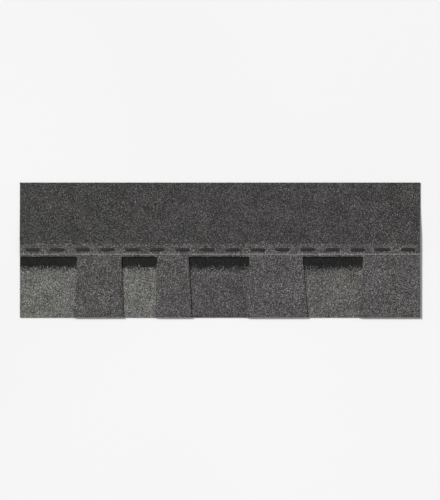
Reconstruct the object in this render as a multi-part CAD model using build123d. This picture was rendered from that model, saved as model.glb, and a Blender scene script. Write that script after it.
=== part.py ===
# One laminated asphalt shingle, lying face up on a level floor.
#
# Two plies of granule-surfaced sheet are glued together. The upper ply is the full height, and its lower part is cut
# into teeth. The lower ply is a strip behind the teeth, which shows in the gaps between them. Above the lower ply the
# upper ply is single, and as the sheet is limp there it bends down until it lies on the floor.
#
# Millimetres. +X runs along the shingle, +Y from the butt edge up the roof slope, +Z out of the weather face. The
# origin is at the middle of the outline, on the floor.
from build123d import *
import math
import os

# Outline of the whole shingle
LENGTH = 1000.0
HEIGHT = 337.0
EXPOSURE = 143.0

# Sheets
PLY_THICKNESS = 2.4
ADHESIVE_THICKNESS = 0.3
LOWER_PLY_HEIGHT = 184.0

# Teeth of the upper ply, from the left end: where the two sides cross the exposure line, measured from the left end,
# and how much further out each side is at the butt edge. The last tooth ends at the shingle's own cut end.
TEETH = (
    (143.0, 254.0, 8.0, 5.0),
    (343.0, 422.0, 5.0, 7.0),
    (573.0, 707.0, 6.0, 12.0),
    (857.0, LENGTH, 9.0, 0.0),
)
GAP_HEIGHT = 152.0
ROOT_RADIUS = 2.5

# The bend where the single sheet comes down to the floor
BEND_LENGTH = 110.0
BEND_SETBACK = 2.0

# Glue between the plies: two short beads under each tooth and one long bead above the gaps
BEAD_WIDTH = 14.0
BEAD_SETBACK = 7.0
TOOTH_BEADS = (18.0, 84.0)
BOND_BEAD = 168.0

# Self-seal dashes on the weather face
DASH_COUNT = 16
DASH_LENGTH = 38.0
DASH_WIDTH = 9.0
DASH_THICKNESS = 1.0
DASH_FOOT = 0.4
DASH_SHOULDER = 1.8
DASH_LINE = 169.0

# Film pressed flush into the back of the lower ply
FILM_WIDTH = 32.0
FILM_THICKNESS = 0.15
FILM_LINE = 166.0

# Worked out from the above
LEFT_END = -LENGTH / 2
BUTT_EDGE = -HEIGHT / 2
TOP_EDGE = HEIGHT / 2
UPPER_PLY_BOTTOM = PLY_THICKNESS + ADHESIVE_THICKNESS
WEATHER_FACE = UPPER_PLY_BOTTOM + PLY_THICKNESS


def up_from_butt(distance):
    """The Y of a line this far above the butt edge."""
    return BUTT_EDGE + distance


def tooth_sides(tooth, distance):
    """The X of a tooth's left and right side, this far above the butt edge."""
    left, right, flare_left, flare_right = tooth
    share = 1 - distance / EXPOSURE
    return LEFT_END + left - flare_left * share, LEFT_END + right + flare_right * share


def sheet_line(side):
    """The upper ply's section line on its upper (side 1) or lower (side -1) face, in the YZ plane."""
    bend_angle = 2 * math.atan(UPPER_PLY_BOTTOM / BEND_LENGTH)
    bend_radius = BEND_LENGTH / (2 * math.sin(bend_angle))
    half = PLY_THICKNESS / 2
    level = UPPER_PLY_BOTTOM + half + side * half
    bend_start = up_from_butt(LOWER_PLY_HEIGHT + BEND_SETBACK)
    flat = Line((BUTT_EDGE, level), (bend_start, level))
    over = JernArc(flat @ 1, flat % 1, bend_radius + side * half, -math.degrees(bend_angle))
    under = JernArc(over @ 1, over % 1, bend_radius - side * half, math.degrees(bend_angle))
    on_floor = Line(under @ 1, (TOP_EDGE, level - UPPER_PLY_BOTTOM))
    return [flat, over, under, on_floor]


def gap(left_tooth, right_tooth):
    """The cut-out between two teeth as a flat face, a little past the butt edge. None stands for an end."""
    past_edge = -1.0
    corners = []
    for distance in (past_edge, GAP_HEIGHT):
        left = tooth_sides(left_tooth, distance)[1] if left_tooth else LEFT_END + past_edge
        corners.append((left, up_from_butt(distance)))
    for distance in (GAP_HEIGHT, past_edge):
        corners.append((tooth_sides(right_tooth, distance)[0], up_from_butt(distance)))
    with BuildSketch() as outline:
        with BuildLine():
            Polyline(*corners, close=True)
        make_face()
        roots = outline.vertices().group_by(Axis.Y)[-1]
        fillet(roots if left_tooth else roots.sort_by(Axis.X)[-1:], ROOT_RADIUS)
    return outline.sketch


def make_upper_ply():
    """The toothed top sheet, drawn as its section along the slope and cut by the gaps between the teeth."""
    upper = sheet_line(1)
    lower = sheet_line(-1)
    ends = [Line(lower[0] @ 0, upper[0] @ 0), Line(lower[-1] @ 1, upper[-1] @ 1)]
    section = Plane.YZ * make_face(Wire(upper + lower + ends).edges())
    sheet = extrude(section, amount=LENGTH / 2, both=True)
    for left_tooth, right_tooth in zip((None,) + TEETH[:-1], TEETH):
        sheet -= extrude(gap(left_tooth, right_tooth), amount=2 * WEATHER_FACE)
    return sheet


def make_lower_ply():
    """The backing strip, with a shallow seat for the film along its back."""
    middle = up_from_butt(LOWER_PLY_HEIGHT / 2)
    on_floor = (Align.CENTER, Align.CENTER, Align.MIN)
    strip = Pos(0, middle, 0) * Box(LENGTH, LOWER_PLY_HEIGHT, PLY_THICKNESS, align=on_floor)
    seat = Pos(0, up_from_butt(FILM_LINE), 0) * Box(LENGTH, FILM_WIDTH, FILM_THICKNESS, align=on_floor)
    return strip - seat


def bead(left, right, line):
    """One flattened bead of glue between the plies, from left to right on a line above the butt edge."""
    between = (Align.MIN, Align.CENTER, Align.MIN)
    place = Pos(left, up_from_butt(line), PLY_THICKNESS)
    return place * Box(right - left, BEAD_WIDTH, ADHESIVE_THICKNESS, align=between)


def make_laminating_adhesive():
    """Two beads under each tooth, and one along the whole shingle above the gaps."""
    beads = [bead(LEFT_END, LEFT_END + LENGTH, BOND_BEAD)]
    for line in TOOTH_BEADS:
        for tooth in TEETH:
            left, right = tooth_sides(tooth, line + BEAD_WIDTH / 2)
            beads.append(bead(left + BEAD_SETBACK, right - BEAD_SETBACK, line))
    return Compound(children=beads)


def make_sealant_strip():
    """A row of round-ended dashes with sloping shoulders on the weather face."""
    foot = extrude(SlotOverall(DASH_LENGTH, DASH_WIDTH), amount=DASH_FOOT)
    inset = 2 * DASH_SHOULDER
    crown = SlotOverall(DASH_LENGTH - inset, DASH_WIDTH - inset)
    dash = foot + loft([foot.faces().sort_by(Axis.Z)[-1], Pos(0, 0, DASH_THICKNESS) * crown])
    pitch = LENGTH / DASH_COUNT
    dashes = []
    for number in range(DASH_COUNT):
        place = Pos(LEFT_END + (number + 0.5) * pitch, up_from_butt(DASH_LINE), WEATHER_FACE)
        dashes.append(place * dash)
    return Compound(children=dashes)


def make_release_film():
    """The film strip, as long as the shingle, flush with the back."""
    on_floor = (Align.CENTER, Align.CENTER, Align.MIN)
    return Pos(0, up_from_butt(FILM_LINE), 0) * Box(LENGTH, FILM_WIDTH, FILM_THICKNESS, align=on_floor)


PARTS = {
    "upper_ply": make_upper_ply,
    "lower_ply": make_lower_ply,
    "laminating_adhesive": make_laminating_adhesive,
    "sealant_strip": make_sealant_strip,
    "release_film": make_release_film,
}

os.makedirs("parts", exist_ok=True)
for name, make in PARTS.items():
    export_step(make(), f"parts/{name}.step")
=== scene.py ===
# The looks of one laminated asphalt shingle, lying face up on a studio floor.
#
# Each ply is a closed sheet with slightly ragged cut edges, and crushed stones are bedded in its face. Finer
# granules are drawn on its coating between them. The nail line, the dark band at the top of each gap and the
# plain headlap are colours of both.
#
# Lengths are in millimetres, and become metres where a mesh, a material, the camera or the floor takes them.
# A place is given by how far along it is from the left end, how far up from the butt edge, and how high above
# the floor.
import math
from collections import namedtuple

import bpy
import numpy as np
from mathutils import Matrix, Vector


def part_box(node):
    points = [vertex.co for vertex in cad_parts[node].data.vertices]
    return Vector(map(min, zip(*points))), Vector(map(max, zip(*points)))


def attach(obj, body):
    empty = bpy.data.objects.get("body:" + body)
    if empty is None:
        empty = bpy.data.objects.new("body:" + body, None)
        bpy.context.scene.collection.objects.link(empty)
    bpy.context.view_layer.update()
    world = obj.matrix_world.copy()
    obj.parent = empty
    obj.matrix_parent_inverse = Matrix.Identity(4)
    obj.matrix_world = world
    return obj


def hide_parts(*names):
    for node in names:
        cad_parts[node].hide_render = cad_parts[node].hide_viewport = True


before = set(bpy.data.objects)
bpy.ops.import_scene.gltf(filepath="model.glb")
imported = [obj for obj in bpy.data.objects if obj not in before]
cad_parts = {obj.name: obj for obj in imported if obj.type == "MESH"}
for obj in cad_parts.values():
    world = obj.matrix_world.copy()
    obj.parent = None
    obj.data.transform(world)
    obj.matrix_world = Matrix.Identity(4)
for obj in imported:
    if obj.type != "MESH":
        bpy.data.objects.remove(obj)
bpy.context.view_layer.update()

MM = 0.001


def size_of(node):
    """How long, how high up the slope and how thick a node is, to a hundredth."""
    low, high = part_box(node)
    return [round(extent / MM, 2) for extent in high - low]


def start_of(node):
    """How far up from the butt edge a node starts, to a hundredth."""
    return round((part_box(node)[0].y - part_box("upper_ply")[0].y) / MM, 2)


# Sizes from the solids
LENGTH, HEIGHT, WEATHER_FACE = size_of("upper_ply")
LOWER_PLY_HEIGHT, PLY_THICKNESS = size_of("lower_ply")[1:]
UPPER_PLY_BOTTOM = WEATHER_FACE - PLY_THICKNESS
FILM_WIDTH, FILM_SEAT = size_of("release_film")[1:]
FILM_START = start_of("release_film")
FILM_END = FILM_START + FILM_WIDTH
DASH_WIDTH, DASH_HEIGHT = size_of("sealant_strip")[1:]
DASH_LINE = start_of("sealant_strip") + DASH_WIDTH / 2

# The teeth, as in the solids: where the two sides cross the exposure line, and how much further out each side
# is at the butt edge
EXPOSURE = 143.0
TEETH = (
    (143.0, 254.0, 8.0, 5.0),
    (343.0, 422.0, 5.0, 7.0),
    (573.0, 707.0, 6.0, 12.0),
    (857.0, LENGTH, 9.0, 0.0),
)
GAP_HEIGHT = 152.0
ROOT_RADIUS = 2.5

# The upper ply's bend down to the floor, which begins a little above the lower ply
BEND_SETBACK = 2.0
BEND_START = LOWER_PLY_HEIGHT + BEND_SETBACK
BEND_LENGTH = 110.0

# How far apart a sheet's points are on the teeth, on the headlap, in the gaps, and where a tooth hides the
# lower ply
TOOTH_PITCH = 2.0
HEADLAP_PITCH = 6.0
GAP_PITCH = 2.5
HIDDEN_PITCH = 9.0

# How far that hidden part keeps inside a tooth's sides and above the gaps, and how far to each side of the
# film's edges its seat slopes
HIDDEN_MARGIN = 4.0
ROOT_MARGIN = 2.0
SEAT_STEP = 0.15

# Each sheet's flat map: how many strips its top is cut into, how many columns they are set in, and the clear
# margin beside each
UPPER_LAYOUT = (3, 2)
LOWER_LAYOUT = (2, 1)
MAP_MARGIN = 6.0

# The coating: its relief, how far the points round its outline wander, and how far those inside do as a share
# of the distance between them. The cut edge below it: how far its points wander, and the steps to the back.
COATING_RELIEF = 0.15
EDGE_WANDER = 0.16
INSIDE_WANDER = 0.3
WALL_WANDER = 0.1
WALL_STEPS = 2

# Slow unevenness of the whole shingle: its height, and the length of each wave and its bearing in radians
SWELL = 0.12
SWELL_WAVES = ((260.0, 0.4), (170.0, 1.7), (95.0, 3.0))

# Stones: how far apart they lie, the share of that they wander, their radii, how uneven and how flat they
# are, how much higher one may lie than another, how deep the coating that they lie on is below the solid's
# face, and how many meshes the headlap's are made in
STONE_PITCH = 1.95
STONE_WANDER = 0.32
STONE_RADII = (0.75, 1.25)
STONE_UNEVENNESS = 0.36
STONE_FLATNESS = 0.7
STONE_RISE = 0.24
COATING_DEPTH = 0.4
HEADLAP_BANDS = 3

# How far the stones keep from the butt edge, the other edges and a tooth's sides, and reach under a tooth
BUTT_MARGIN = STONE_PITCH / 4
EDGE_MARGIN = 0.4
SIDE_MARGIN = 0.5
UNDER_TOOTH = 0.9

# A plain stone: its six tips, the neighbours among those round its waist, and the three tips of each of its
# eight sides
STONE_TIPS = np.array([(1, 0, 0), (-1, 0, 0), (0, 1, 0), (0, -1, 0), (0, 0, 1), (0, 0, -1)])
ROUND_WAIST = ((0, 2), (2, 1), (1, 3), (3, 0))
STONE_SIDES = np.array([(a, b, 4) for a, b in ROUND_WAIST] + [(b, a, 5) for a, b in ROUND_WAIST])

# Self-seal dashes: their number and length, the points round each one, the rings of points from its foot to
# its top, and how deep the foot is sunk
DASH_COUNT = 16
DASH_LENGTH = 38.0
DASH_POINTS = 56
DASH_RINGS = 9
DASH_SINK = 0.35

# Their shape: how square the ends are, how full the section is, how far each may lie off its place along and
# up, the waves round the outline and their height beside half the width, and the height of the lumps
DASH_SQUARENESS = 3.0
DASH_FULLNESS = 0.8
DASH_SHIFTS = (1.0, 0.4)
DASH_WAVES = range(2, 7)
DASH_WAVINESS = 0.1
DASH_LUMPS = 0.05

SEED = 7
rng = np.random.default_rng(SEED)


# Meshes


def swell(along, up):
    """A slow unevenness of the whole shingle. Both plies share it, so they stay a constant way apart."""
    total = 0.0
    for phase, (length, bearing) in enumerate(SWELL_WAVES):
        across = along * math.cos(bearing) + up * math.sin(bearing)
        total = total + np.sin(2 * math.pi * across / length + phase)
    return SWELL * total / len(SWELL_WAVES)


def sheet_drop(up):
    """How far the upper ply has come down towards the floor, along two equal arcs that meet half way."""
    bend_angle = 2 * math.atan(UPPER_PLY_BOTTOM / BEND_LENGTH)
    radius = BEND_LENGTH / (2 * math.sin(bend_angle))
    into_bend = np.clip(up - BEND_START, 0, BEND_LENGTH)
    to_go = BEND_LENGTH - into_bend
    drop = radius - np.sqrt(radius**2 - np.minimum(into_bend, to_go) ** 2)
    return np.where(into_bend < to_go, drop, UPPER_PLY_BOTTOM - drop)


def upper_face(along, up):
    """Level of the upper ply's weather face."""
    return WEATHER_FACE - sheet_drop(up) + swell(along, up)


def lower_face(along, up):
    """Level of the lower ply's weather face."""
    return PLY_THICKNESS + swell(along, up)


def upper_back(up):
    """Level of the upper ply's back."""
    return UPPER_PLY_BOTTOM - sheet_drop(up)


def lower_back(up):
    """Level of the lower ply's back, with the film's seat in it."""
    return np.where((up > FILM_START) & (up < FILM_END), FILM_SEAT, 0.0)


def steps(start, end, pitch):
    """Evenly spaced places from start to end, about pitch apart, with the last one left out."""
    count = max(1, round((end - start) / pitch))
    return np.linspace(start, end, count, endpoint=False)


def root_rounding(distance):
    """How far a cut-out's rounded corner stands off its side, this far from the corner."""
    inside = np.clip(ROOT_RADIUS - distance, 0, ROOT_RADIUS)
    return ROOT_RADIUS - np.sqrt(ROOT_RADIUS**2 - inside**2)


def tooth_sides(tooth, up):
    """How far along a tooth's two sides are, this far above the butt edge."""
    left, right, flare_left, flare_right = tooth
    share = 1 - up / EXPOSURE
    return left - flare_left * share, right + flare_right * share


def upper_ply_grid():
    """Places of the upper ply's points in rows and columns, and which cells between them are sheet."""
    columns, is_tooth, spans = [], [], []
    edge = 0.0
    for tooth in TEETH:
        left, right = tooth_sides(tooth, GAP_HEIGHT)
        beside = steps(edge, left, TOOTH_PITCH)
        across = steps(left, right, TOOTH_PITCH)
        first = len(is_tooth) + len(beside)
        spans.append((first, first + len(across)))
        columns += [beside, across]
        is_tooth += [False] * len(beside) + [True] * len(across)
        edge = right
    columns = np.concatenate([*columns, [LENGTH]])
    in_teeth = steps(0, GAP_HEIGHT, TOOTH_PITCH)
    rows = np.concatenate([in_teeth, steps(GAP_HEIGHT, HEIGHT, HEADLAP_PITCH), [HEIGHT]])
    along, up = np.meshgrid(columns, rows)
    for tooth, (first, last) in zip(TEETH, spans):
        left, right = (side[:, None] for side in tooth_sides(tooth, in_teeth))
        along[: len(in_teeth), first : last + 1] = left + (right - left) * np.linspace(0, 1, last - first + 1)
    cells = np.ones((len(rows) - 1, len(columns) - 1), bool)
    cells[: len(in_teeth)] = is_tooth
    round_roots(along, up, rows, spans)
    return along, up, cells


def round_roots(along, up, rows, spans):
    """Moves the points round each top corner of the cut-outs onto the corner's arc. spans are each tooth's
    first and last column."""
    root = int(np.searchsorted(rows, GAP_HEIGHT))
    reach = int(ROOT_RADIUS / TOOTH_PITCH) + 1
    on_diagonal = ROOT_RADIUS * (1 - math.sqrt(0.5))
    last_column = along.shape[1] - 1
    for first, last in spans:
        for corner, outwards in ((first, -1), (last, 1)):
            if corner == last_column:
                continue
            for step in range(1, reach + 1):
                aside = root_rounding(GAP_HEIGHT - rows[root - step])
                along[root - step, corner] += outwards * aside
                beside = abs(along[root, corner + outwards * step] - along[root, corner])
                up[root, corner + outwards * step] -= root_rounding(beside)
            along[root, corner] += outwards * on_diagonal
            up[root, corner] -= on_diagonal


def lower_ply_grid():
    """Places of the lower ply's points in rows and columns. All cells are sheet."""
    columns = []
    edge = 0.0
    for tooth in TEETH:
        at_butt, at_root = (tooth_sides(tooth, up) for up in (0, GAP_HEIGHT))
        left = max(at_butt[0], at_root[0]) + HIDDEN_MARGIN
        right = min(at_butt[1], at_root[1]) - HIDDEN_MARGIN
        columns += [steps(edge, left, GAP_PITCH), steps(left, right, HIDDEN_PITCH)]
        edge = right
    columns = np.concatenate([*columns, [LENGTH]])
    seat = [side + step for side in (FILM_START, FILM_END) for step in (-SEAT_STEP, SEAT_STEP)]
    below_seat = steps(0, seat[0], GAP_PITCH)
    in_seat = steps(GAP_HEIGHT + ROOT_MARGIN, seat[2], HIDDEN_PITCH)
    rows = np.concatenate([below_seat, seat[:2], in_seat, seat[2:], [LOWER_PLY_HEIGHT]])
    along, up = np.meshgrid(columns, rows)
    return along, up, np.ones((len(rows) - 1, len(columns) - 1), bool)


# A cell's four sides, as rows and columns from the cell: the cell beyond, and the side's start and end
CELL_SIDES = (
    ((-1, 0), (0, 0), (0, 1)),
    ((0, 1), (0, 1), (1, 1)),
    ((1, 0), (1, 1), (1, 0)),
    ((0, -1), (1, 0), (0, 0)),
)


def outline_of(cells):
    """Rows and columns of the places round the cells, anticlockwise seen from above."""
    padded = np.pad(cells, 1)
    after = {}
    for row, column in np.argwhere(cells).tolist():
        for beyond, start, end in CELL_SIDES:
            if not padded[row + beyond[0] + 1, column + beyond[1] + 1]:
                after[row + start[0], column + start[1]] = (row + end[0], column + end[1])
    loop = [(0, int(np.argmax(cells[0])))]
    while len(loop) < len(after):
        loop.append(after[loop[-1]])
    return tuple(np.array(loop).T)


def inside_and_edge(cells):
    """Which places have sheet on all four sides, and which lie on the sheet's outline."""
    padded = np.pad(cells, 1).astype(int)
    around = padded[1:, 1:] + padded[1:, :-1] + padded[:-1, 1:] + padded[:-1, :-1]
    return around == 4, (around > 0) & (around < 4)


def shaken(place, axis, inside, on_edge):
    """The places along or up, with those inside the sheet and on its outline moved a little."""
    shift = INSIDE_WANDER * np.gradient(place, axis=axis) * rng.uniform(-1, 1, place.shape)
    moved = np.where(inside, place + shift, place)
    moved[on_edge] += EDGE_WANDER * rng.uniform(-1, 1, on_edge.sum())
    return moved


def wall_rings(edge, floor):
    """Rings of points from the top's outline down to the back's level."""
    rings = [edge]
    for step in range(1, WALL_STEPS + 1):
        wander = WALL_WANDER * rng.uniform(-1, 1, (2, len(edge))) * (step < WALL_STEPS)
        level = edge[:, 2] + (floor - edge[:, 2]) * step / WALL_STEPS
        rings.append(np.column_stack([edge[:, 0] + wander[0], edge[:, 1] + wander[1], level]))
    return rings


def back_strips(cells, number):
    """Faces of the back, one for each unbroken run of cells in a row. number gives the outline's points their
    numbers, and is -1 elsewhere."""
    faces = []
    for row, in_row in enumerate(cells):
        changes = np.flatnonzero(np.diff(np.pad(in_row.astype(int), 1)))
        for first, last in changes.reshape(-1, 2):
            near, far = (number[side, first : last + 1] for side in (row, row + 1))
            faces.append(np.concatenate([near[near >= 0][::-1], far[far >= 0]]).tolist())
    return faces


def closed_sheet(along, up, cells, face, back):
    """Points and faces of a closed sheet: a rough coating a little below the face, walls round the outline,
    and a back in strips. For each wall face it also gives how far round the outline and how high its corners
    are."""
    inside, on_edge = inside_and_edge(cells)
    along = shaken(along, 1, inside, on_edge)
    up = shaken(up, 0, inside, on_edge)
    height = face(along, up) - COATING_DEPTH + COATING_RELIEF * rng.uniform(-1, 1, along.shape)
    on_sheet = inside | on_edge
    top = np.column_stack([along[on_sheet], up[on_sheet], height[on_sheet]])
    number = np.full(along.shape, -1)
    number[on_sheet] = np.arange(len(top))
    row, column = np.nonzero(cells)
    cell_corners = ((0, 0), (0, 1), (1, 1), (1, 0))
    top_faces = np.column_stack([number[row + r, column + c] for r, c in cell_corners]).tolist()

    outline = outline_of(cells)
    rings = wall_rings(top[number[outline]], back(up[outline]))
    points = np.concatenate([top, *rings[1:]])
    new_numbers = np.arange(len(top), len(points)).reshape(WALL_STEPS, -1)
    ring_numbers = [number[outline], *new_numbers]
    edge_vectors = np.roll(rings[0][:, :2], -1, axis=0) - rings[0][:, :2]
    round_edge = np.concatenate([[0], np.cumsum(np.hypot(*edge_vectors.T))])
    distances = np.column_stack([round_edge[:-1], round_edge[:-1], round_edge[1:], round_edge[1:]])
    wall_faces, wall_places = [], []
    for upper, lower in zip(ring_numbers[:-1], ring_numbers[1:]):
        faces = np.column_stack([upper, lower, np.roll(lower, -1), np.roll(upper, -1)])
        wall_faces += faces.tolist()
        wall_places.append(np.stack([distances, points[faces, 2]], axis=2))

    number_below = np.full(along.shape, -1)
    number_below[outline] = ring_numbers[-1]
    groups = (top_faces, wall_faces, back_strips(cells, number_below))
    return points, groups, np.concatenate(wall_places)


def in_frame(points):
    """Points in metres in the solids' frame."""
    return (points - [LENGTH / 2, HEIGHT / 2, 0]) * MM


def add_object(name, data):
    """An object in the scene, made of a mesh, a lamp or a camera."""
    made = bpy.data.objects.new(name, data)
    bpy.context.scene.collection.objects.link(made)
    return made


def mesh_object(name, points, groups, materials):
    """A mesh of groups of faces, each group with its own material."""
    mesh = bpy.data.meshes.new(name)
    mesh.from_pydata(in_frame(points).tolist(), [], [face for group in groups for face in group])
    for material in materials:
        mesh.materials.append(material)
    kinds = np.repeat(np.arange(len(groups)), [len(group) for group in groups])
    mesh.polygons.foreach_set("material_index", kinds.astype(np.int32))
    return add_object(name, mesh)


def add_piece(made, node):
    """The piece takes a CAD node's place and moves with the shingle."""
    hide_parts(node)
    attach(made, "root")


def store_map(mesh, places):
    """Stores a flat place for each corner of each face."""
    mesh.uv_layers.new(name="OFBake").uv.foreach_set("vector", places.astype(np.float32).ravel())


def sheet_map(mesh, points, groups, wall_places, height, layout):
    """A flat map of a sheet: the top as strips set in columns, then the whole back, smaller, and the walls in
    rows."""
    top, _, back = groups
    strips, columns = layout
    width = LENGTH / strips
    cell = np.array([width, height]) + MAP_MARGIN
    top_places = points[np.array(top), :2]
    strip = np.minimum(top_places[..., 0].mean(1) // width, strips - 1)
    top_places[..., 0] -= (strip * width)[:, None]
    top_places += (np.column_stack([strip % columns, strip // columns]) * cell)[:, None]
    last_cell = np.array([strips % columns, strips // columns]) * cell
    back_places = points[np.concatenate(back), :2] / strips + last_cell
    row_length = width - MAP_MARGIN
    row = wall_places[:, :1, 0] // row_length
    row_start = last_cell[1] + cell[1] / strips + MAP_MARGIN + row * 2 * PLY_THICKNESS
    wall_places = wall_places + np.stack([last_cell[0] - row * row_length, row_start], axis=2)
    places = np.concatenate([part.reshape(-1, 2) for part in (top_places, wall_places, back_places)])
    store_map(mesh, (places + MAP_MARGIN / 2) / (places.max() + MAP_MARGIN))


def make_sheet(name, grid, face, back, layout, materials):
    """A ply up to its coating. Its materials are those of its face, its cut edges and its back."""
    points, groups, wall_places = closed_sheet(*grid, face, back)
    made = mesh_object(name, points, groups, materials)
    height = grid[1].max()
    sheet_map(made.data, points, groups, wall_places, height, layout)
    return made


def make_upper_ply(materials):
    """The toothed sheet."""
    made = make_sheet("toothed_sheet", upper_ply_grid(), upper_face, upper_back, UPPER_LAYOUT, materials)
    add_piece(made, "upper_ply")


def make_lower_ply(materials):
    """The backing strip, with the film's seat in its back."""
    made = make_sheet("backing_strip", lower_ply_grid(), lower_face, lower_back, LOWER_LAYOUT, materials)
    add_piece(made, "lower_ply")


def stone_places(lowest, highest):
    """Places of stones between two lines, in shaken rows as long as the shingle, clear of its edges."""
    row_pitch = STONE_PITCH * math.sqrt(3) / 2
    columns = np.arange(STONE_PITCH / 2, LENGTH, STONE_PITCH)
    rows = np.arange(lowest + row_pitch / 2, highest, row_pitch)
    along, up = np.meshgrid(columns, rows)
    along[1::2] += STONE_PITCH / 2
    wander = STONE_WANDER * STONE_PITCH * rng.uniform(-1, 1, (2, *along.shape))
    along = (along + wander[0]).ravel()
    up = (up + wander[1]).ravel()
    clear = (along > EDGE_MARGIN) & (along < LENGTH - EDGE_MARGIN) & (up < HEIGHT - EDGE_MARGIN)
    return along[clear], up[clear]


def on_tooth(along, up, margin):
    """Which places are on a tooth, at least margin inside its sides. A margin below 0 reaches outside."""
    inside = np.zeros(along.shape, bool)
    for tooth in TEETH:
        left, right = tooth_sides(tooth, up)
        inside |= (along > left + margin) & (along < right - margin)
    return inside


def keep_on_stones(mesh, name, values):
    """Stores three numbers for each stone on its points, which materials read by name."""
    on_points = np.repeat(values, len(STONE_TIPS), axis=0).astype(np.float32)
    mesh.attributes.new(name, "FLOAT_VECTOR", "POINT").data.foreach_set("vector", on_points.ravel())


def stone_map(mesh, stone):
    """A flat map with one square for each stone, as seen from above."""
    across = math.ceil(math.sqrt(len(stone)))
    number = np.arange(len(stone))
    middle = np.column_stack([number % across, number // across]) + 0.5
    seen = stone[:, STONE_SIDES, :2] * 0.5 / abs(stone[..., :2]).max()
    store_map(mesh, (middle[:, None, None] + seen) / across)


def add_stones(name, along, up, node, slot, face, material):
    """Crushed stones as closed eight-sided solids, each turned its own way, bedded in a face."""
    count = len(along)
    radius = rng.uniform(*STONE_RADII, (count, 1, 1))
    turn = np.linalg.qr(rng.normal(size=(count, 3, 3)))[0]
    turn *= np.linalg.det(turn)[:, None, None]
    unevenness = STONE_UNEVENNESS * rng.uniform(-1, 1, (count, *STONE_TIPS.shape))
    stone = radius * (STONE_TIPS + unevenness) @ turn
    stone[..., 2] *= STONE_FLATNESS
    middle = np.column_stack([along, up, face(along, up) - COATING_DEPTH + rng.uniform(0, STONE_RISE, count)])
    points = (stone + middle[:, None]).reshape(-1, 3)
    faces = (STONE_SIDES + len(STONE_TIPS) * np.arange(count)[:, None, None]).reshape(-1, 3)
    made = mesh_object(name, points, [faces.tolist()], [material])
    keep_on_stones(made.data, "stone_middle", in_frame(middle))
    keep_on_stones(made.data, "stone_draws", rng.uniform(0, 1, (count, 3)))
    stone_map(made.data, stone)
    add_piece(made, node)


def make_stones(upper_material, lower_material):
    """Stones on the teeth, in the gaps, and on the headlap in bands, so that no mesh is too large."""
    on_upper = ("upper_ply", "tooth_granules", upper_face, upper_material)
    on_lower = ("lower_ply", "shadow_granules", lower_face, lower_material)
    along, up = stone_places(BUTT_MARGIN, GAP_HEIGHT)
    teeth = on_tooth(along, up, SIDE_MARGIN)
    gaps = ~on_tooth(along, up, -UNDER_TOOTH)
    add_stones("tooth_stones", along[teeth], up[teeth], *on_upper)
    add_stones("gap_stones", along[gaps], up[gaps], *on_lower)
    bands = np.linspace(GAP_HEIGHT, HEIGHT, HEADLAP_BANDS + 1)
    for number, (lowest, highest) in enumerate(zip(bands[:-1], bands[1:]), start=1):
        along, up = stone_places(lowest, highest)
        above_gaps = up > GAP_HEIGHT + EDGE_MARGIN
        add_stones(f"headlap_stones_{number}", along[above_gaps], up[above_gaps], *on_upper)


def dash_outline():
    """How far along and up from its middle a dash's outline is, with its own waves."""
    angle = np.arange(DASH_POINTS) * 2 * math.pi / DASH_POINTS
    waves = 0.0
    for number in DASH_WAVES:
        height = rng.uniform(-1, 1) / number
        waves = waves + height * np.sin(angle * number + rng.uniform(0, 2 * math.pi))
    radius = DASH_WIDTH / 2 * (1 + DASH_WAVINESS * waves)
    straight = (DASH_LENGTH - DASH_WIDTH) / 2 * np.tanh(DASH_SQUARENESS * np.cos(angle))
    return straight + radius * np.cos(angle), radius * np.sin(angle)


def make_dashes(material):
    """Self-seal dashes: low rounded beads of asphalt, each a closed solid of rings up to a small flat top."""
    points, faces = [], []
    numbers = np.arange(DASH_COUNT * DASH_RINGS * DASH_POINTS).reshape(DASH_COUNT, DASH_RINGS, DASH_POINTS)
    for dash, rings in enumerate(numbers):
        outline = dash_outline()
        shift_along, shift_up = (rng.uniform(-shift, shift) for shift in DASH_SHIFTS)
        middle = ((dash + 0.5) * LENGTH / DASH_COUNT + shift_along, DASH_LINE + shift_up)
        for ring in range(DASH_RINGS):
            climb = ring / DASH_RINGS * math.pi / 2
            lumps = DASH_LUMPS * rng.uniform(-1, 1, DASH_POINTS) * (ring > 0)
            level = WEATHER_FACE - DASH_SINK + (DASH_HEIGHT + DASH_SINK) * math.sin(climb) ** DASH_FULLNESS
            along, up = (place + reach * math.cos(climb) for place, reach in zip(middle, outline))
            points.append(np.column_stack([along, up, level + lumps - DASH_LUMPS]))
        for low, high in zip(rings[:-1], rings[1:]):
            faces += np.column_stack([low, np.roll(low, -1), np.roll(high, -1), high]).tolist()
        faces += [rings[0][::-1].tolist(), rings[-1].tolist()]
    made = mesh_object("seal_dashes", np.concatenate(points), [faces], [material])
    made.data.shade_smooth()
    add_piece(made, "sealant_strip")


# Materials


def linear(*srgb):
    """A colour of three 0 to 255 values, or a grey of one, as the linear values that shaders use."""
    parts = [part / 255 for part in srgb]
    return [part / 12.92 if part <= 0.04045 else ((part + 0.055) / 1.055) ** 2.4 for part in parts]


def opaque(colour):
    """A colour of three parts, or a grey of one, with full opacity."""
    return [*np.broadcast_to(colour, 3).tolist(), 1.0]


# Blends of granules: the share of each kind, and its colour beside the others'
DARK_BLEND = (
    (0.44, (0.111, 0.109, 0.120)),
    (0.22, (0.236, 0.220, 0.218)),
    (0.16, (0.418, 0.438, 0.408)),
    (0.11, (0.77, 0.77, 0.755)),
    (0.07, (1.21, 1.19, 1.15)),
)
LIGHT_BLEND = (
    (0.28, (0.107, 0.105, 0.116)),
    (0.26, (0.245, 0.230, 0.230)),
    (0.22, (0.455, 0.474, 0.450)),
    (0.16, (0.80, 0.80, 0.785)),
    (0.08, (1.19, 1.17, 1.13)),
)

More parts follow.
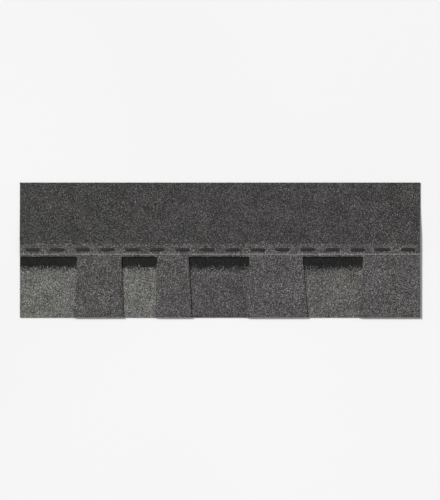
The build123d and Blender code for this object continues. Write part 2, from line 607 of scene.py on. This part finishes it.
# Granules drawn on the coating: the size of a cell, the lean of its facet, how wide its sides and the painted
# shade in its crevice are beside its size, and how dark that painted shade is
GRANULE_PITCH = 1.2
FACET_SLOPE = 0.9
CELL_SIDE_WIDTH = 0.2
PAINTED_CREVICE_SHADE_WIDTH = 0.13
PAINTED_CREVICE_SHADE = 0.3

# The stones' veins, with their size and shade, and the fine dust on all granules, with its size and relief
VEIN_SIZE = 1.6
VEIN = 0.8
DUST_SIZE = 0.4
DUST_RELIEF = 0.15

# Gloss of the granules and of smooth asphalt: roughness from and to, and specular level. Asphalt grows
# rougher over this range of its dust's noise.
GRANULE_ROUGHNESS = (0.55, 0.9)
GRANULE_SPECULAR = 0.25
SEALANT_ROUGHNESS = (0.5, 0.72)
GLUE_ROUGHNESS = (0.25, 0.5)
ASPHALT_SPECULAR = 0.3
DUST_RANGE = (0.35, 0.7)

# How bright a white matt sheet would look in this scene's light, with the small shadows between granules
# counted in, and how bright the granules' gloss alone makes a black one
WHITE_LEVEL = 0.69
GLOSS_LEVEL = 0.008

# How light the granules look in each place, from 0 to 255, and how much of the dark blend is in each gap
TOOTH_TONE = 86
GAP_TONES = (106, 107.5, 81.7, 94)
DARK_SHARES = (0.0, 0.0, 1.0, 0.5)
HEADLAP_TONE = 70
SHADOW_TONE = 36

# Tint: the two ends of its range, how far towards the greenish end each tooth and gap is, and how far it
# wanders from that
PURPLE_TINT = (1.05, 0.981, 1.039)
GREEN_TINT = (0.993, 1.01, 0.925)
TOOTH_GREENS = (0.58, 0.36, 0.17, 0.38)
GAP_GREENS = (0.87, 0.72, 0.26, 0.57)
TINT_WANDER = 0.28

# Patches of tint and shade: their sizes, how quickly the tint changes up the slope beside along it, how much
# the shade differs, and how far from the tint's noise its own is taken, in metres
TINT_PATCH = 50.0
TINT_STRETCH = 0.5
SHADE_PATCH = 48.0
SHADE_RANGE = 0.15
SHADE_OFFSET = (0.31, 0.17, 0.0)

# Where along the shingle these hold: a tooth's tint at its middle, and a gap's tint, tone and blend from the
# middle of the tooth before it
TOOTH_MIDDLES = [(left + right) / 2 for left, right, *_ in TEETH]
GAP_STARTS = [0.0, *TOOTH_MIDDLES[:-1]]

# The dark band of a gap, which fades out between two lines that wander
SHADOW_FULL = 133.0
SHADOW_END = 111.0
SHADOW_WANDER = 2.0
SHADOW_PATCH = 14.0

# The plain headlap, and the nail line, whose paint stays on a granule that it covers more than the granule's
# own need
HEADLAP_START = LOWER_PLY_HEIGHT
HEADLAP_BLUR = 1.5
NAIL_LINE = 158.0
NAIL_LINE_WIDTH = 2.4
NAIL_LINE_BLUR = 0.5
PAINT_NEEDS = (0.1, 1.3)
PAINT = linear(150, 148, 142)

# How much the back's sand clusters, how quickly the film's wrinkles change along it beside across it, and the
# size and tones of the floor's faint clouds
SAND_CLUSTERING = 0.12
FILM_STRETCH = 0.15
FLOOR_CLOUD = 900.0
FLOOR_TONES = (0.79, 0.81)

# The range that nearly all of a noise is in
NOISE_RANGE = (0.3, 0.7)

# The colour sockets of a mixing node, which share their names with others
MIX_FIRST = 6
MIX_SECOND = 7
MIX_RESULT = 2

# What a granule's looks are worked out from: its middle, its three random numbers of 0 to 1, its relief, and
# its shade, which is painted shade in a drawn granule's crevices and the darker colour of a stone's veins
Grain = namedtuple("Grain", "middle draws relief shade")


class Nodes:
    """Short ways to add and join the nodes of one material."""

    def __init__(self, name):
        self.material = bpy.data.materials.new(name)
        self.material.use_nodes = True
        self.tree = self.material.node_tree
        self.shader = self.tree.nodes["Principled BSDF"]

    def add(self, kind, inputs=(), **settings):
        """A node with its settings and inputs. An input is a number, a colour or another node's socket."""
        made = self.tree.nodes.new("ShaderNode" + kind)
        for setting, value in settings.items():
            setattr(made, setting, value)
        for socket, value in dict(inputs).items():
            self.set(made.inputs[socket], value)
        return made

    def set(self, socket, value):
        """Links a socket to another one, or sets its number, vector or colour, or one number as a grey."""
        if isinstance(value, bpy.types.NodeSocket):
            self.tree.links.new(value, socket)
        elif socket.type == "RGBA":
            socket.default_value = opaque(value)
        else:
            socket.default_value = value

    def finish(self, **inputs):
        """Sets the shader's inputs, whose names have underscores here for spaces."""
        for name, value in inputs.items():
            self.set(self.shader.inputs[name.replace("_", " ")], value)
        return self.material

    def place(self):
        """The place of each point of the surface, in metres."""
        return self.add("TexCoord").outputs["Object"]

    def math(self, operation, first, second=0.0, third=0.0):
        """A number worked out from up to three."""
        return self.add("Math", {0: first, 1: second, 2: third}, operation=operation).outputs["Value"]

    def vector(self, operation, first, second):
        """A vector worked out from two, or their dot product."""
        made = self.add("VectorMath", {0: first, 1: second}, operation=operation)
        return made.outputs["Value" if operation == "DOT_PRODUCT" else "Vector"]

    def split(self, vector):
        """A vector's X, Y and Z."""
        return self.add("SeparateXYZ", {"Vector": vector}).outputs

    def rescale(self, value, low, high, new_low=0.0, new_high=1.0, **settings):
        """A number moved from one range to another and kept within that."""
        inputs = {"Value": value, "From Min": low, "From Max": high, "To Min": new_low, "To Max": new_high}
        return self.add("MapRange", inputs, **settings).outputs["Result"]

    def mix(self, share, first, second, blend_type="MIX"):
        """The first colour with this share of the second."""
        inputs = {"Factor": share, MIX_FIRST: first, MIX_SECOND: second}
        return self.add("Mix", inputs, data_type="RGBA", blend_type=blend_type).outputs[MIX_RESULT]

    def times(self, first, second):
        """Two colours multiplied."""
        return self.mix(1.0, first, second, "MULTIPLY")

    def ramp(self, value, stops, interpolation="LINEAR"):
        """The colour that stops of position and colour give a number of 0 to 1."""
        made = self.add("ValToRGB", {"Fac": value})
        band = made.color_ramp
        band.interpolation = interpolation
        while len(band.elements) > 1:
            band.elements.remove(band.elements[-1])
        for number, (position, colour) in enumerate(stops):
            element = band.elements[0] if number == 0 else band.elements.new(position)
            element.position = position
            element.color = opaque(colour)
        return made.outputs["Color"]

    def by_place(self, place, along, values, interpolation):
        """A grey that changes along the shingle, given at some lengths along from its left end."""
        share = self.rescale(self.split(place)["X"], -LENGTH / 2 * MM, LENGTH / 2 * MM)
        stops = [(start / LENGTH, value) for start, value in zip(along, values)]
        return self.ramp(share, stops, interpolation)

    def noise(self, place, size, detail=2.0, roughness=0.5):
        """Soft noise with lumps of about this size."""
        inputs = {"Vector": place, "Scale": 1 / (size * MM), "Detail": detail, "Roughness": roughness}
        return self.add("TexNoise", inputs).outputs["Fac"]

    def patches(self, place, size, low, high, detail=2.0):
        """Soft patches of about this size, of numbers from low to high."""
        return self.rescale(self.noise(place, size, detail), *NOISE_RANGE, low, high)

    def bump(self, height, strength, distance):
        """The surface's direction as this height of 0 to 1, which stands for a distance, turns it."""
        inputs = {"Height": height, "Strength": strength, "Distance": distance * MM}
        return self.add("Bump", inputs).outputs["Normal"]


def cell_grain(nodes):
    """Granules drawn on the coating, one to a cell, each with a facet that leans its own way."""
    place = nodes.place()
    inputs = {"Vector": place, "Scale": 1 / (GRANULE_PITCH * MM), "Randomness": 1.0}
    cell = nodes.add("TexVoronoi", inputs).outputs
    border = nodes.add("TexVoronoi", inputs, feature="DISTANCE_TO_EDGE").outputs["Distance"]
    random = nodes.add("TexWhiteNoise", {"Vector": cell["Position"]}).outputs["Color"]
    lean = nodes.vector("SUBTRACT", random, (0.5, 0.5, 0.5))
    slope = nodes.vector("DOT_PRODUCT", nodes.vector("SUBTRACT", place, cell["Position"]), lean)
    rise = nodes.math("MULTIPLY_ADD", slope, FACET_SLOPE / (GRANULE_PITCH * MM), 0.5)
    relief = nodes.math("MULTIPLY", rise, nodes.rescale(border, 0.0, CELL_SIDE_WIDTH))
    # Painted shade: each drawn granule's colour darkens towards its cell's edge, as if shaded in the crevice
    painted_crevice_shade = nodes.ramp(border, ((0.0, PAINTED_CREVICE_SHADE), (PAINTED_CREVICE_SHADE_WIDTH, 1.0)))
    return Grain(cell["Position"], nodes.split(cell["Color"]), relief, painted_crevice_shade)


def stone_grain(nodes):
    """The same for the stones, whose facets are their relief."""
    names = ("stone_middle", "stone_draws")
    middle, draws = (nodes.add("Attribute", attribute_name=name).outputs["Vector"] for name in names)
    vein = nodes.noise(nodes.place(), VEIN_SIZE)
    shade = nodes.ramp(vein, zip(NOISE_RANGE, (VEIN, 1.0)))
    return Grain(middle, nodes.split(draws), vein, shade)


def kind_of(nodes, draws, blend):
    """A granule's colour beside the mean brightness of its blend."""
    mean = sum(share * green for share, (_, green, _) in blend)
    stops, position = [], 0.0
    for share, colour in blend:
        stops.append((position, [part / mean for part in colour]))
        position += share
    return nodes.ramp(draws["X"], stops, "CONSTANT")


def varied(nodes, grain, colour, green):
    """The colour tinted, greenish by this share or else purplish, with soft patches of tint and shade."""
    stretched = nodes.vector("MULTIPLY", grain.middle, (1.0, TINT_STRETCH, 1.0))
    wander = nodes.patches(stretched, TINT_PATCH, -TINT_WANDER, TINT_WANDER, detail=1.5)
    tint = nodes.mix(nodes.math("ADD", wander, green), PURPLE_TINT, GREEN_TINT)
    elsewhere = nodes.vector("ADD", grain.middle, SHADE_OFFSET)
    brightness = nodes.patches(elsewhere, SHADE_PATCH, 1 - SHADE_RANGE, 1 + SHADE_RANGE)
    # grain.shade darkens the colour: painted shade in drawn granules' crevices, the real darker veins in
    # stones
    for factor in (grain.shade, tint, brightness):
        colour = nodes.times(colour, factor)
    return colour


def finish_granules(nodes, colour, grain):
    """The granules' colour, roughness and fine relief."""
    dust = nodes.noise(nodes.place(), DUST_SIZE)
    height = nodes.math("MULTIPLY_ADD", dust, DUST_RELIEF, grain.relief)
    roughness = nodes.rescale(grain.draws["Z"], 0.0, 1.0, *GRANULE_ROUGHNESS)
    normal = nodes.bump(height, strength=1.0, distance=0.4)
    return nodes.finish(
        Base_Color=colour, Roughness=roughness, Specular_IOR_Level=GRANULE_SPECULAR, Normal=normal
    )


def albedo(tone):
    """How much light granules have to give back to look as bright as this grey of 0 to 255."""
    return (linear(tone)[0] - GLOSS_LEVEL) / WHITE_LEVEL


def above_butt(nodes, middle):
    """How far up from the butt edge a granule's middle is, in metres."""
    return nodes.math("ADD", nodes.split(middle)["Y"], HEIGHT / 2 * MM)


def upper_granules(name, make_grain):
    """Face of the toothed sheet: the dark blend, the plain headlap above it, and the painted nail line."""
    nodes = Nodes(name)
    grain = make_grain(nodes)
    up = above_butt(nodes, grain.middle)
    headlap_edges = [(HEADLAP_START + blur) * MM for blur in (-HEADLAP_BLUR, HEADLAP_BLUR)]
    in_headlap = nodes.math("GREATER_THAN", nodes.rescale(up, *headlap_edges), grain.draws["Y"])
    tone = nodes.mix(in_headlap, albedo(TOOTH_TONE), albedo(HEADLAP_TONE))
    granule = nodes.times(kind_of(nodes, grain.draws, DARK_BLEND), tone)
    green = nodes.by_place(grain.middle, TOOTH_MIDDLES, TOOTH_GREENS, "LINEAR")
    colour = varied(nodes, grain, granule, green)
    off_line = nodes.math("ABSOLUTE", nodes.math("SUBTRACT", up, NAIL_LINE * MM))
    line_edges = [(NAIL_LINE_WIDTH / 2 + blur) * MM for blur in (NAIL_LINE_BLUR, -NAIL_LINE_BLUR)]
    need = nodes.rescale(grain.draws["Z"], 0.0, 1.0, *PAINT_NEEDS)
    painted = nodes.math("GREATER_THAN", nodes.rescale(off_line, *line_edges), need)
    return finish_granules(nodes, nodes.mix(painted, colour, PAINT), grain)


def lower_granules(name, make_grain):
    """Face of the backing strip: blend, tint and tone by gap, and the dark band at the top of each gap."""
    nodes = Nodes(name)
    grain = make_grain(nodes)
    dark_share, green, tone = (
        nodes.by_place(grain.middle, GAP_STARTS, values, "CONSTANT")
        for values in (DARK_SHARES, GAP_GREENS, [albedo(tone) for tone in GAP_TONES])
    )
    kinds = [kind_of(nodes, grain.draws, blend) for blend in (LIGHT_BLEND, DARK_BLEND)]
    granule = varied(nodes, grain, nodes.mix(dark_share, *kinds), green)
    wander = nodes.patches(grain.middle, SHADOW_PATCH, -SHADOW_WANDER * MM, SHADOW_WANDER * MM)
    up = nodes.math("ADD", above_butt(nodes, grain.middle), wander)
    band = nodes.rescale(up, SHADOW_END * MM, SHADOW_FULL * MM, interpolation_type="SMOOTHSTEP")
    in_band = nodes.math("GREATER_THAN", band, grain.draws["Y"])
    colour = nodes.mix(in_band, nodes.times(granule, tone), nodes.times(granule, albedo(SHADOW_TONE)))
    return finish_granules(nodes, colour, grain)


def cut_edge():
    """A cut through the sheet: black asphalt with mineral specks."""
    nodes = Nodes("cut_asphalt")
    speck = nodes.noise(nodes.place(), size=0.6, detail=3.0, roughness=0.7)
    stops = ((0.0, linear(18, 17, 17)), (0.55, linear(30, 29, 28)), (0.72, linear(92, 90, 86)))
    normal = nodes.bump(speck, strength=0.8, distance=0.3)
    return nodes.finish(Base_Color=nodes.ramp(speck, stops), Roughness=0.62, Normal=normal)


def sanded_back():
    """The back: asphalt dusted with fine pale mineral, more in some places than in others."""
    nodes = Nodes("sanded_back")
    place = nodes.place()
    sand = nodes.noise(place, size=0.45, detail=3.0, roughness=0.75)
    cloud = nodes.noise(place, size=38.0, detail=3.0)
    cover = nodes.math("MULTIPLY_ADD", cloud, SAND_CLUSTERING, sand)
    stops = ((0.4, linear(27)), (0.57, linear(55, 54, 52)), (0.75, linear(116, 113, 107)))
    normal = nodes.bump(sand, strength=0.6, distance=0.25)
    return nodes.finish(Base_Color=nodes.ramp(cover, stops), Roughness=0.78, Normal=normal)


def asphalt(name, roughness_range):
    """Smooth black asphalt, a little lumpy and dusty."""
    nodes = Nodes(name)
    place = nodes.place()
    lumps = nodes.noise(place, size=4.0, detail=3.0)
    dust = nodes.noise(place, size=1.1, detail=3.0, roughness=0.7)
    colour = nodes.ramp(dust, ((0.4, linear(20, 20, 21)), (0.75, linear(52, 51, 50))))
    roughness = nodes.rescale(dust, *DUST_RANGE, *roughness_range)
    normal = nodes.bump(lumps, strength=0.5, distance=0.6)
    return nodes.finish(
        Base_Color=colour, Roughness=roughness, Specular_IOR_Level=ASPHALT_SPECULAR, Normal=normal
    )


def film():
    """Thin clear film with fine wrinkles along it, paler along their ridges as a painted sheen."""
    nodes = Nodes("clear_film")
    stretched = nodes.vector("MULTIPLY", nodes.place(), (FILM_STRETCH, 1.0, 1.0))
    wrinkle = nodes.noise(stretched, size=2.2, detail=3.0)
    # Painted sheen: the film's colour is paler where its wrinkles rise
    colour = nodes.ramp(wrinkle, ((0.3, linear(150, 153, 156)), (0.7, linear(196, 199, 202))))
    normal = nodes.bump(wrinkle, strength=0.35, distance=0.3)
    return nodes.finish(Base_Color=colour, Roughness=0.12, Alpha=0.4, Normal=normal)


def floor_finish():
    """Plain matt white studio floor with hardly visible unevenness."""
    nodes = Nodes("studio_floor")
    cloud = nodes.noise(nodes.place(), FLOOR_CLOUD, detail=1.0)
    return nodes.finish(Base_Color=nodes.ramp(cloud, zip(NOISE_RANGE, FLOOR_TONES)), Roughness=0.9)


def finish_node(name, material):
    """Gives a CAD node that stays in view its finish."""
    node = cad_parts[name]
    node.data.materials.clear()
    node.data.materials.append(material)


# Stage

# The picture's height in pixels and its scale, and the camera's lens and sensor
PICTURE_HEIGHT = 500
MM_PER_PIXEL = 2.5
LENS = 100.0
SENSOR = 36.0

# The floor reaches this far each way, and is a little below the back so that the two don't touch
FLOOR_REACH = 60000.0
FLOOR_GAP = 0.2

# The lamp in the picture's upper left: its strength, and in degrees its bearing from the picture's right, its
# elevation and its softness. The sky: its light, and how bright it looks itself.
KEY_STRENGTH = 4.18
KEY_BEARING = 142.0
KEY_ELEVATION = 33.0
KEY_SOFTNESS = 7.0
SKY_LIGHT = 0.42
SKY_LOOK = 0.93


def make_camera():
    """Straight above the shingle, square to it, as the photograph looks at the roof. The picture is higher
    than it is wide, so the sensor's size is the picture's height. Colours are shown as they are."""
    lens = bpy.data.cameras.new("camera")
    lens.lens = LENS
    lens.sensor_width = SENSOR
    camera = add_object("camera", lens)
    camera.location = (0, 0, PICTURE_HEIGHT * MM_PER_PIXEL * MM * LENS / SENSOR)
    bpy.context.scene.camera = camera
    bpy.context.scene.view_settings.view_transform = "Standard"


def make_floor():
    """A wide plain floor."""
    mesh = bpy.data.meshes.new("floor")
    turns = ((-1, -1), (1, -1), (1, 1), (-1, 1))
    corners = [(x * FLOOR_REACH * MM, y * FLOOR_REACH * MM, -FLOOR_GAP * MM) for x, y in turns]
    mesh.from_pydata(corners, [], [(0, 1, 2, 3)])
    mesh.materials.append(floor_finish())
    add_object("floor", mesh)


def make_key_light():
    """A soft lamp of parallel light."""
    lamp = bpy.data.lights.new("key", "SUN")
    lamp.energy = KEY_STRENGTH
    lamp.angle = math.radians(KEY_SOFTNESS)
    add_object("key", lamp).rotation_euler = (0, math.radians(90 - KEY_ELEVATION), math.radians(KEY_BEARING))


def make_sky():
    """White light from all round, which itself looks about as pale as the floor."""
    world = bpy.data.worlds.new("studio")
    world.use_nodes = True
    tree = world.node_tree
    path = tree.nodes.new("ShaderNodeLightPath")
    colour = tree.nodes.new("ShaderNodeMapRange")
    colour.inputs["To Min"].default_value = 1.0
    colour.inputs["To Max"].default_value = SKY_LOOK / SKY_LIGHT
    tree.links.new(path.outputs["Is Camera Ray"], colour.inputs["Value"])
    light = tree.nodes["Background"]
    light.inputs["Strength"].default_value = SKY_LIGHT
    tree.links.new(colour.outputs["Result"], light.inputs["Color"])
    bpy.context.scene.world = world


edge_finish = cut_edge()
back_finish = sanded_back()
make_upper_ply([upper_granules("upper_coating", cell_grain), edge_finish, back_finish])
make_lower_ply([lower_granules("lower_coating", cell_grain), edge_finish, back_finish])
make_stones(upper_granules("upper_stones", stone_grain), lower_granules("lower_stones", stone_grain))
make_dashes(asphalt("sealant", SEALANT_ROUGHNESS))
finish_node("laminating_adhesive", asphalt("laminating_asphalt", GLUE_ROUGHNESS))
finish_node("release_film", film())
make_camera()
make_floor()
make_key_light()
make_sky()
